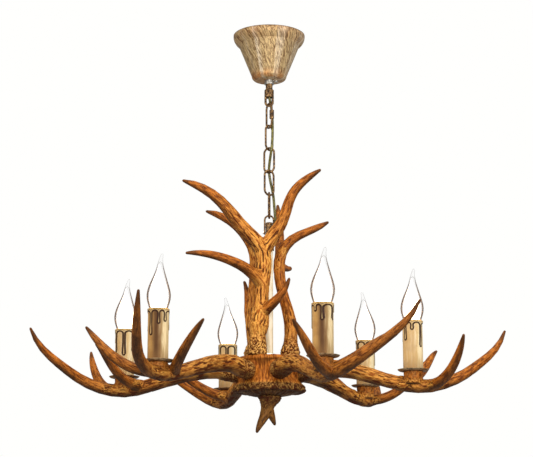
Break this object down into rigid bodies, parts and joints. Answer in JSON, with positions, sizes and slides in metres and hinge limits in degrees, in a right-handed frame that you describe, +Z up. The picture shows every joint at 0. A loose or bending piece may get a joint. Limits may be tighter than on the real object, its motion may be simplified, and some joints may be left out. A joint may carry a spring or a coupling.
{
  "type": "antler chandelier",
  "caption": "Antler chandelier with candle-style lamps on branching arms round a hub, hung by a link chain and cord from a cone-shaped ceiling rose.",
  "frame": {"origin": "middle of the ceiling rose's rim, in the ceiling plane", "axes": "+Z up to the ceiling, -Y towards the front view, +X to the right of it"},
  "size_m": [0.779, 0.6854, 0.6754],
  "materials": {
    "brushed_gold": "pale gold, brushed, lacquered",
    "aged_bronze": "aged bronze",
    "zinc_steel": "zinc plated",
    "bright_steel": "bright",
    "moulding": "moulded, white",
    "cord_sheath": "soft olive sheath",
    "black_rubber": "matt",
    "stem_paint": "cream paint",
    "antler_resin": "cast resin, stained and waxed",
    "pan_metal": "antique bronze, with a rubbed rim",
    "candle_wax": "ivory, with raised drips",
    "bulb_glass": "frosted",
    "cap_metal": "plain"
  },
  "bodies": {
    "ceiling_rose": {"ceiling_bar": "zinc_steel", "nipple": "zinc_steel", "nipple_nuts": "zinc_steel", "canopy": "brushed_gold", "canopy_ring_nut": "aged_bronze", "canopy_stop_screw": "bright_steel", "terminal_block": "moulding", "earth_screw": "zinc_steel", "loop_collar": "aged_bronze", "hanging_loop": "aged_bronze", "power_cord": "cord_sheath"},
    "link_1": {"chain_link_1": "aged_bronze", "link_sleeve": "aged_bronze"},
    "link_2": {"chain_link_2": "aged_bronze"},
    "link_3": {"chain_link_3": "aged_bronze"},
    "link_4": {"chain_link_4": "aged_bronze"},
    "link_5": {"chain_link_5": "aged_bronze"},
    "bail": {"bail": "aged_bronze"},
    "fixture": {"bail_pin": "bright_steel", "stem_head": "aged_bronze", "stem_neck": "aged_bronze", "cord_bush": "black_rubber", "stem_tube": "stem_paint", "stem_nuts": "zinc_steel", "hub_body": "antler_resin", "hub_dish": "antler_resin", "finial": "antler_resin", "upright_antler_front": "antler_resin", "upright_antler_right": "antler_resin", "upright_antler_left": "antler_resin", "upright_bolts": "zinc_steel", "arm_bolts": "zinc_steel", "drip_pans": "pan_metal", "holder_studs": "zinc_steel", "lamp_holders": "moulding", "antler_arm_1": "antler_resin", "antler_arm_2": "antler_resin", "antler_arm_3": "antler_resin", "antler_arm_4": "antler_resin", "antler_arm_5": "antler_resin", "antler_arm_6": "antler_resin", "candle_sleeve_1": "candle_wax", "candle_sleeve_2": "candle_wax", "candle_sleeve_3": "candle_wax", "candle_sleeve_4": "candle_wax", "candle_sleeve_5": "candle_wax", "candle_sleeve_6": "candle_wax"},
    "bulb_1": {"bulb_cap_1": "cap_metal", "bulb_glass_1": "bulb_glass"},
    "bulb_2": {"bulb_cap_2": "cap_metal", "bulb_glass_2": "bulb_glass"},
    "bulb_3": {"bulb_cap_3": "cap_metal", "bulb_glass_3": "bulb_glass"},
    "bulb_4": {"bulb_cap_4": "cap_metal", "bulb_glass_4": "bulb_glass"},
    "bulb_5": {"bulb_cap_5": "cap_metal", "bulb_glass_5": "bulb_glass"},
    "bulb_6": {"bulb_cap_6": "cap_metal", "bulb_glass_6": "bulb_glass"}
  },
  "joints": [
    {"name": "loop_swing", "type": "hinge", "parent": "ceiling_rose", "child": "link_1", "pos_m": [0, 0, -0.12145], "axis": [1, 0, 0], "range_deg": [-15, 15], "deforming": ["power_cord"]},
    {"name": "link_2_swing", "type": "hinge", "parent": "link_1", "child": "link_2", "pos_m": [0, 0, -0.16035], "axis": [0.4695, -0.8829, 0], "range_deg": [-15, 15], "deforming": ["power_cord"]},
    {"name": "link_3_swing", "type": "hinge", "parent": "link_2", "child": "link_3", "pos_m": [0, 0, -0.19925], "axis": [0.6157, 0.788, 0], "range_deg": [-15, 15], "deforming": ["power_cord"]},
    {"name": "link_4_swing", "type": "hinge", "parent": "link_3", "child": "link_4", "pos_m": [0, 0, -0.23815], "axis": [0.8829, -0.4695, 0], "range_deg": [-15, 15], "deforming": ["power_cord"]},
    {"name": "link_5_swing", "type": "hinge", "parent": "link_4", "child": "link_5", "pos_m": [0, 0, -0.27705], "axis": [0.809, 0.5878, 0], "range_deg": [-12, 12], "deforming": ["power_cord"]},
    {"name": "bail_swing", "type": "hinge", "parent": "link_5", "child": "bail", "pos_m": [0, 0, -0.31595], "axis": [0.0698, 0.9976, 0], "range_deg": [-10, 10], "deforming": ["power_cord"]},
    {"name": "pin_swing", "type": "hinge", "parent": "bail", "child": "fixture", "pos_m": [0, 0, -0.3426], "axis": [1, 0, 0], "range_deg": [-8, 8], "deforming": ["power_cord"]},
    {"name": "bulb_1_turn", "type": "hinge", "parent": "fixture", "child": "bulb_1", "pos_m": [-0.1695, -0.17552, -0.5191], "axis": [0, 0, 1], "range_deg": [0, 360]},
    {"name": "bulb_2_turn", "type": "hinge", "parent": "fixture", "child": "bulb_2", "pos_m": [0.07944, -0.23071, -0.5191], "axis": [0, 0, 1], "range_deg": [0, 360]},
    {"name": "bulb_3_turn", "type": "hinge", "parent": "fixture", "child": "bulb_3", "pos_m": [0.22986, -0.05349, -0.5191], "axis": [0, 0, 1], "range_deg": [0, 360]},
    {"name": "bulb_4_turn", "type": "hinge", "parent": "fixture", "child": "bulb_4", "pos_m": [0.16858, 0.1764, -0.5191], "axis": [0, 0, 1], "range_deg": [0, 360]},
    {"name": "bulb_5_turn", "type": "hinge", "parent": "fixture", "child": "bulb_5", "pos_m": [-0.07378, 0.23258, -0.5191], "axis": [0, 0, 1], "range_deg": [0, 360]},
    {"name": "bulb_6_turn", "type": "hinge", "parent": "fixture", "child": "bulb_6", "pos_m": [-0.24022, 0.04279, -0.5191], "axis": [0, 0, 1], "range_deg": [0, 360]}
  ]
}
